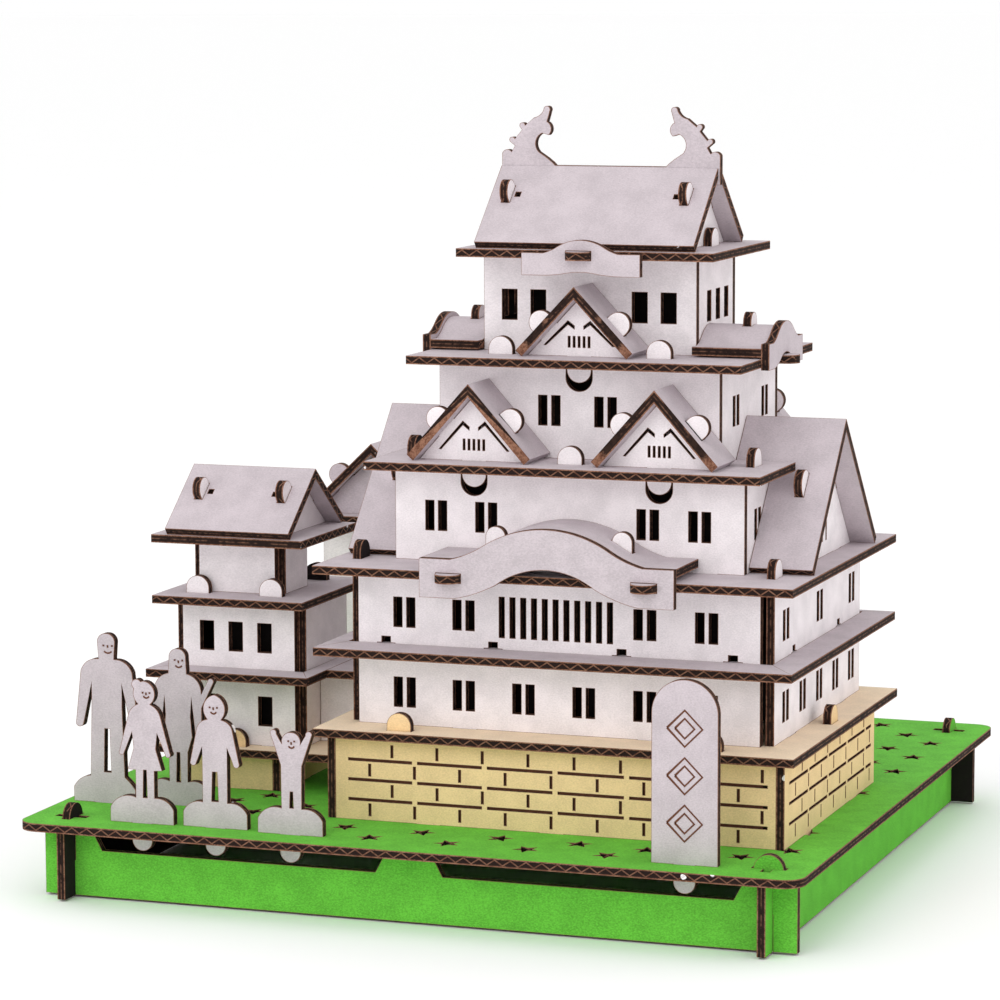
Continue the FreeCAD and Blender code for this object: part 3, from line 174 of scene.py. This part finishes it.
def cutMaterial(name, endOn):  # the burnt edge of the board, flutes seen end on or from their side, with painted shade in the flute hollows
    graph = Graph(bpy.data.materials.new(name))
    where = graph.place()
    board = graph.make("ShaderNodeSeparateXYZ", {}, (graph.attribute("board")[1],))
    across, through = board[0], board[2]
    grain = graph.noise(where, 3.0, 4.0)
    streaks = graph.noise(where, 0.9, 3.0)
    depth = through.op("ABSOLUTE") + (grain - 0.5) * 0.12
    liner = graph.ramp(depth, 0.5, 0.62)
    if endOn:
        pitch = boardSheet["flutePitch"] / 2
        swing = across.op("PINGPONG", pitch) * (2 / pitch) - 1
        gap = (through - swing * 0.5).op("ABSOLUTE") + (grain - 0.5) * 0.1
        inner = graph.ramp(gap, 0.08, 0.22, 0.85, 0.0)
    else:
        inner = graph.ramp(depth, 0.03, 0.16, 0.7, 0.05) * graph.ramp(streaks, 0.4, 0.6)
    solid = liner.op("MAXIMUM", inner)
    brown = graph.mix(graph.ramp(grain + streaks - 0.5, 0.25, 0.75), paint("burnt"), paint("burntLight"))
    nick = graph.ramp(graph.noise(where, 0.3, 1.0), 0.775, 0.785)
    # between the solid paper the flute hollows take fluteShade, a near-black painted shade
    colour = graph.mix(nick, graph.mix(solid, paint("fluteShade"), brown), paint("white"))
    return graph.finish(colour, 0.95, solid + grain * 0.2, 0.0003)


def plainMaterial(name, paintName, deep, scale):  # one burnt or shaded tone with grain
    graph = Graph(bpy.data.materials.new(name))
    grain = graph.noise(graph.place(), scale, 4.0)
    colour = graph.mix(grain, shifted(paint(paintName), deep), shifted(paint(paintName), 1.3))
    return graph.finish(colour, 0.95, grain, 0.00005)


papers = {name: paperMaterial(name) for name in paperLook}
cutEnd = cutMaterial("cutAcrossFlutes", True)
cutSide = cutMaterial("cutAlongFlutes", False)
innerShade = plainMaterial("innerShade", "shade", 0.7, 1.5)
burntMarkAndSlitShade = plainMaterial("burntMarkAndSlitShade", "burnt", 0.6, 2.0)
print("materials made")


def islands(form):  # the separate boards in one node
    for face in form.faces:
        face.tag = False
    found = []
    for first in form.faces:
        if first.tag:
            continue
        first.tag = True
        group = [first]
        for face in group:
            for edge in face.edges:
                if len(edge.link_faces) != 2:  # an edge that two touching boards share
                    continue
                for near in edge.link_faces:
                    if not near.tag:
                        near.tag = True
                        group.append(near)
        found.append(group)
    return found


def addPiece(name, shape, materials, slotName=None):  # a form or mesh as a piece of the castle, or of the studio
    mesh = shape
    if isinstance(shape, bmesh.types.BMesh):
        mesh = bpy.data.meshes.new(name)
        shape.to_mesh(mesh)
        shape.free()
    for material in materials:
        mesh.materials.append(material)
    piece = bpy.data.objects.new(name, mesh)
    bpy.context.scene.collection.objects.link(piece)
    if slotName:
        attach(piece, "root")
    return piece


axes = {"x": Vector((1, 0, 0)), "y": Vector((0, 1, 0)), "z": Vector((0, 0, 1))}


def dress(name, slotName, paper, flute=None, bend=None, centre=None, folded=False):
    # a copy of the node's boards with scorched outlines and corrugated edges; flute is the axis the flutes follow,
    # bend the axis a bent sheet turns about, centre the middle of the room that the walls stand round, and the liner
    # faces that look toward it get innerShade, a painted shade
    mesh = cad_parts[name].data.copy()
    mesh.materials.clear()
    form = bmesh.new()
    form.from_mesh(mesh)
    bmesh.ops.remove_doubles(form, verts=form.verts, dist=2e-6)
    bmesh.ops.dissolve_limit(form, angle_limit=0.003, verts=form.verts, edges=form.edges)
    form.normal_update()
    liners = []
    boards = []
    for group in islands(form):
        byArea = sorted(group, key=lambda face: -face.calc_area())
        slopes = []  # normals of the liners: a face wider than the board is thick isn't a cut edge
        for f in byArea:
            if not slopes or (2 * f.calc_area() / f.calc_perimeter() > boardSheet["widest"] * mm
                              and max(abs(f.normal.dot(n)) for n in slopes) < 0.9):
                slopes.append(f.normal * (-1 if max(f.normal, key=abs) < 0 else 1))
        normal = slopes[0]
        if bend:
            cross = axes["x" if bend == "y" else "y"]
            cut = [f for f in group if abs(f.normal.dot(axes[bend])) > 0.9 or abs(f.normal.dot(cross)) > 0.92]
            along = axes[bend]
        else:
            cut = [f for f in group if max(abs(f.normal.dot(n)) for n in slopes) < 0.9]
            lead = axes[flute] if flute else axes["y"] if abs(normal.z) > 0.9 else axes["z"]
            along = (lead - normal * lead.dot(normal)).normalized()
        across = normal.cross(along) if not bend else cross
        for f in group:
            f.material_index = 0
        for f in cut:
            endOn = abs(f.normal.y) < 0.5 if folded else abs(f.normal.dot(along)) > 0.6
            f.material_index = 1 if endOn else 2
        side = set(cut)
        mine = [f for f in group if f not in side]
        heights = [v.co.dot(normal) for f in group for v in f.verts]
        middle = (min(heights) + max(heights)) / 2
        # liner faces that look toward the room's middle take innerShade: painted shade for the unlit inside
        if centre and abs(normal.z) < 0.5:
            for f in mine:
                inward = Vector(centre + (0,)) * mm - f.calc_center_median()
                if inward.x * f.normal.x + inward.y * f.normal.y > 0:
                    f.material_index = 3
        liners.append(mine)
        boards.append((group, across, along, normal, middle))
    rimLayer = form.loops.layers.float.new("rim")
    boardLayer = form.loops.layers.float_vector.new("board")
    for group, across, along, normal, middle in boards:
        for corner in (loop for f in group for loop in f.loops):
            v = corner.vert
            if bend or folded:
                up = max((n.normal.z for n in v.link_faces if n.material_index == 0), key=abs, default=0)
                through = math.copysign(boardSheet["thickness"] / 2, up)
            else:
                through = (v.co.dot(normal) - middle) / mm
            corner[boardLayer] = (v.co.dot(across) / mm, v.co.dot(along) / mm, through)
    scorch = boardSheet["scorch"] * mm
    for mine in liners:  # board by board, because boards that touch share edges
        bmesh.ops.inset_region(form, faces=mine, thickness=scorch, depth=0, use_boundary=True,
                               use_even_offset=False)
    for v in form.verts:
        burnt = any(f.material_index in (1, 2) for f in v.link_faces)
        for corner in v.link_loops:
            corner[rimLayer] = float(burnt)
    form.to_mesh(mesh)
    form.free()
    piece = addPiece(name + "Board", mesh, (papers[paper], cutEnd, cutSide, innerShade), slotName)
    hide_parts(name)


keepMiddle = (22.0, -17.0)
smallMiddle = (-50.5, -20.0)
rearMiddle = (-46.0, 44.0)
wallNodes = {  # white walls and the middle of their room
    "keep_front_wall": keepMiddle, "keep_back_wall": keepMiddle,
    "keep_left_wall": keepMiddle, "keep_right_wall": keepMiddle,
    "storey3_walls": keepMiddle, "storey4_walls": keepMiddle, "storey5_walls": keepMiddle,
    "small_keep_walls": smallMiddle, "small_storey3_walls": smallMiddle,
    "corridor_walls": (-30.0, -18.0), "rear_keep_walls": rearMiddle,
}
for name, middle in wallNodes.items():
    dress(name, "board_white", "white", centre=middle)
for name in ("side_gable_faces", "small_gable_faces", "centre_gable_faces", "roof_ends", "small_roof_ends",
             "arch_ribs", "flank_ribs"):
    dress(name, "board_white", "white")
stoneNodes = {
    "stone_front_wall": keepMiddle, "stone_back_wall": keepMiddle, "stone_left_wall": keepMiddle,
    "stone_right_wall": keepMiddle, "small_stone_walls": smallMiddle,
}
for name, middle in stoneNodes.items():
    dress(name, "board_stone", "stone", centre=middle)
for name in ("terrace_plate", "small_terrace_plate"):
    dress(name, "board_stone", "terrace")
for name in ("base_front", "base_back", "base_left", "base_right"):
    dress(name, "board_green", "green", centre=(0.0, 0.0))
dress("ground_plate", "board_green", "green")
greyNodes = {  # roofs, eaves and figures, with the flutes' axis where it isn't the usual one
    "eave1_strips": None, "eave2_plate": None, "eave3_plate": None, "eave4_plate": None, "eave5_plate": None,
    "arch_boards": None, "side_gable_slopes": None, "small_gable_roofs": None, "centre_gable_roofs": None,
    "flank_boards": None, "top_arch_board": None, "roof_front_slope": "x", "roof_back_slope": "x",
    "ridge_board": None, "small_eave1_strips": None, "small_eave2_plate": None, "small_eave3_plate": "x",
    "small_roof_slopes": "x", "corridor_eave": None, "rear_keep_eave": None, "rear_keep_roof": None,
    "figure_man": None, "figure_woman": None, "figure_girl": None, "figure_boy": None, "figure_child": None,
    "name_board": None,
}
foldedRoofs = ("small_gable_roofs", "centre_gable_roofs", "rear_keep_roof")
for name, flute in greyNodes.items():
    dress(name, "board_grey", "grey", flute=flute, folded=name in foldedRoofs)
dress("arch_roofs", "board_grey", "grey", bend="y")
dress("flank_roofs", "board_grey", "grey", bend="x")

engraving = {  # burnt lines on the boards, in mm
    "proud": 0.04,
    "skin": 0.05,
    "faceLine": 0.32,
    "boardLine": 0.42,
}


def engrave(name, level, lines):  # lines in the plane y = level, each a width and its (x, z) points
    form = bmesh.new()
    for width, points in lines:
        spots = [Vector((x, level - engraving["proud"], z)) * mm for x, z in points]
        edge = None
        for i, spot in enumerate(spots):
            run = spots[min(i + 1, len(spots) - 1)] - spots[max(i - 1, 0)]
            aside = Vector((-run.z, 0, run.x)).normalized() * width * mm / 2
            ends = (spot + aside, spot - aside)
            if edge is None:
                edge = form.edges.new([form.verts.new(end) for end in ends])
                lastEnds = ends
                continue
            made = bmesh.ops.extrude_edge_only(form, edges=[edge])["geom"]
            first, second = (v for v in made if isinstance(v, bmesh.types.BMVert))
            if (first.co - lastEnds[0]).length > (first.co - lastEnds[1]).length:
                first, second = second, first
            first.co, second.co = ends
            edge = next(e for e in made if isinstance(e, bmesh.types.BMEdge) and set(e.verts) == {first, second})
            lastEnds = ends
    bmesh.ops.recalc_face_normals(form, faces=form.faces)
    bmesh.ops.solidify(form, geom=form.faces[:], thickness=engraving["skin"] * mm)
    bmesh.ops.recalc_face_normals(form, faces=form.faces)
    addPiece(name, form, (burntMarkAndSlitShade,), "board_grey")


faces = {  # middle of the nose, half the gap of the eyes, height of the eyes over it, drop and half width of the smile
    "man": {"y": -55.8, "nose": (-66.8, 45.5), "eyes": 0.9, "over": 0.15, "drop": 1.3, "smile": 0.8},
    "woman": {"y": -53.4, "nose": (-53.1, 42.9), "eyes": 0.8, "over": 0.3, "drop": 1.1, "smile": 0.7},
    "girl": {"y": -70.6, "nose": (-52.0, 39.7), "eyes": 0.7, "over": 0.2, "drop": 0.8, "smile": 0.6},
    "boy": {"y": -70.0, "nose": (-38.6, 37.6), "eyes": 0.75, "over": 0.2, "drop": 1.0, "smile": 0.6},
    "child": {"y": -70.9, "nose": (-22.6, 32.2), "eyes": 0.6, "over": 0.4, "drop": 0.9, "smile": 0.6},
}
for name, f in faces.items():
    x, z = f["nose"]
    width = engraving["faceLine"]
    lines = [(width, [(x - 0.05, z + 0.25), (x, z - 0.25)])]
    for side in (-1, 1):
        eye = x + side * f["eyes"]
        lines.append((width, [(eye - 0.18, z + f["over"]), (eye + 0.18, z + f["over"])]))
    smile = [(x + f["smile"] * t, z - f["drop"] + 0.35 * t * t) for t in (-1, -0.5, 0, 0.5, 1)]
    lines.append((width, smile))
    engrave(name + "Face", f["y"], lines)

nameBoard = {"x": 53.3, "y": -71.3, "low": 22.5, "pitch": 8.6, "count": 3, "half": 3.3}
lines = []
for i in range(nameBoard["count"]):  # nested lozenges, a plain pattern
    middle = nameBoard["low"] + nameBoard["pitch"] * i
    for size in (1.0, 0.55):
        r = nameBoard["half"] * size
        x = nameBoard["x"]
        lines.append((engraving["boardLine"], [(x - r, middle), (x, middle + r), (x + r, middle), (x, middle - r),
                                               (x - r, middle)]))
engrave("nameBoardPattern", nameBoard["y"], lines)
print("engraved lines made")

brickFill = {  # a dark sheet in the thickness of each brick wall, seen only through the slits, in mm: burnt brown of the cut and painted shade of the hollow behind
    "depth": 0.55,
    "sheet": 0.3,
    "margin": 2.6,
    "low": 15.4,
    "high": 30.2,
}


def roundedBlock(size, middle, radius, segments):
    form = bmesh.new()
    bmesh.ops.create_cube(form, size=1.0)
    bmesh.ops.scale(form, vec=size, verts=form.verts)
    bmesh.ops.translate(form, vec=middle, verts=form.verts)
    bmesh.ops.bevel(form, geom=form.edges[:], offset=radius, affect="EDGES", segments=segments, profile=0.5,
                    material=-1)
    return form


def fillBricks(name, node, axis, way):
    low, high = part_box(node)
    low.z = (brickFill["low"] - brickFill["margin"]) * mm
    high.z = (brickFill["high"] + brickFill["margin"]) * mm
    size = high - low - Vector((1, 1, 1)) * 2 * brickFill["margin"] * mm
    middle = (low + high) / 2
    size[axis] = brickFill["sheet"] * mm
    middle[axis] = (high if way > 0 else low)[axis] - way * (brickFill["depth"] + brickFill["sheet"] / 2) * mm
    form = roundedBlock(size, middle, 0.05 * mm, 1)
    # the burnt-brown sheet closes the slits: the cut's burnt colour and painted shade of the hollow behind them
    addPiece(name, form, (burntMarkAndSlitShade,), "board_stone")


fillBricks("frontBrickSlits", "stone_front_wall", 1, -1)
fillBricks("rightBrickSlits", "stone_right_wall", 0, 1)
fillBricks("backBrickSlits", "stone_back_wall", 1, 1)
fillBricks("leftBrickSlits", "stone_left_wall", 0, -1)
print("brick slits filled")

rooms = {  # painted shade: a dark box in the unlit middle of each storey, lowest and highest corner in mm; it keeps the windows dark from all sides
    "keepRoom": ((-13.0, -41.5, 33.2), (55.5, 10.5, 60.9)),
    "hallRoom": ((-6.0, -37.0, 64.0), (49.5, 3.0, 80.2)),
    "upperRoom": ((0.0, -28.5, 83.2), (42.0, -1.5, 99.6)),
    "crownRoom": ((6.0, -20.5, 102.5), (35.5, -7.0, 119.4)),
    "smallRoom": ((-57.0, -27.5, 25.5), (-44.0, -13.0, 50.6)),
    "smallTopRoom": ((-55.0, -27.5, 53.6), (-46.5, -20.0, 62.6)),
}


def makeRoomShade(name, low, high):
    form = roundedBlock(Vector(high) * mm - Vector(low) * mm, (Vector(low) + Vector(high)) / 2 * mm, 0.8 * mm, 2)
    addPiece(name, form, (innerShade,), "board_white")


for name, (low, high) in rooms.items():
    makeRoomShade(name, low, high)
print("rooms shaded")

shot = {  # the photograph's view, in mm and degrees
    "place": (255.72, -732.86, 171.70),
    "azimuth": 19.722,
    "down": 7.495,
    "roll": -0.173,
    "lens": 142.33,
}


def makeCamera():
    turn, dip, roll = (math.radians(shot[k]) for k in ("azimuth", "down", "roll"))
    ahead = Vector((-math.sin(turn) * math.cos(dip), math.cos(turn) * math.cos(dip), -math.sin(dip)))
    level = Vector((math.cos(turn), math.sin(turn), 0))
    upward = level.cross(ahead)
    right = level * math.cos(roll) + upward * math.sin(roll)
    top = upward * math.cos(roll) - level * math.sin(roll)
    data = bpy.data.cameras.new("photoCamera")
    data.lens = shot["lens"]
    data.sensor_width = 36
    data.clip_start = 0.05
    data.clip_end = 20
    camera = bpy.data.objects.new("photoCamera", data)
    place = Matrix((right, top, -ahead)).transposed().to_4x4()
    place.translation = Vector(shot["place"]) * mm
    camera.matrix_world = place
    bpy.context.scene.collection.objects.link(camera)
    bpy.context.scene.camera = camera


studio = {"world": 1.0, "key": 4.6, "fill": 1.2, "floorSize": 30.0, "keySize": 0.9, "fillSize": 1.2,
          "floorDrop": 0.0004}


def makeFloor():
    form = bmesh.new()
    bmesh.ops.create_grid(form, x_segments=1, y_segments=1, size=studio["floorSize"])
    graph = Graph(bpy.data.materials.new("paleFloor"))
    grain = graph.noise(graph.place(), 0.02, 2.0)
    colour = graph.mix(grain, shifted(paint("floor"), 0.99), paint("floor"))
    floor = addPiece("floor", form, (graph.finish(colour, 0.9, grain, 0.00001),))
    floor.location.z = -studio["floorDrop"]


def makeWorld():
    world = bpy.data.worlds.new("paleRoom")
    bpy.context.scene.world = world
    graph = Graph(world)
    sky = graph.make("ShaderNodeBackground", {}, {"Color": (1, 1, 1, 1), "Strength": studio["world"]})[0]
    graph.make("ShaderNodeOutputWorld", {}, {"Surface": sky})


def makeLamp(name, place, power, size):
    data = bpy.data.lights.new(name, "AREA")
    data.energy = power
    data.size = size
    lamp = bpy.data.objects.new(name, data)
    lamp.location = place
    lamp.rotation_euler = (Vector((0, 0, 0.07)) - Vector(place)).to_track_quat("-Z", "Y").to_euler()
    bpy.context.scene.collection.objects.link(lamp)


makeCamera()
makeFloor()
makeWorld()
makeLamp("key", (-0.25, -1.1, 0.9), studio["key"], studio["keySize"])
makeLamp("fill", (1.1, -0.5, 0.6), studio["fill"], studio["fillSize"])
bpy.context.scene.view_settings.view_transform = "Standard"
print("camera, floor and lights set")
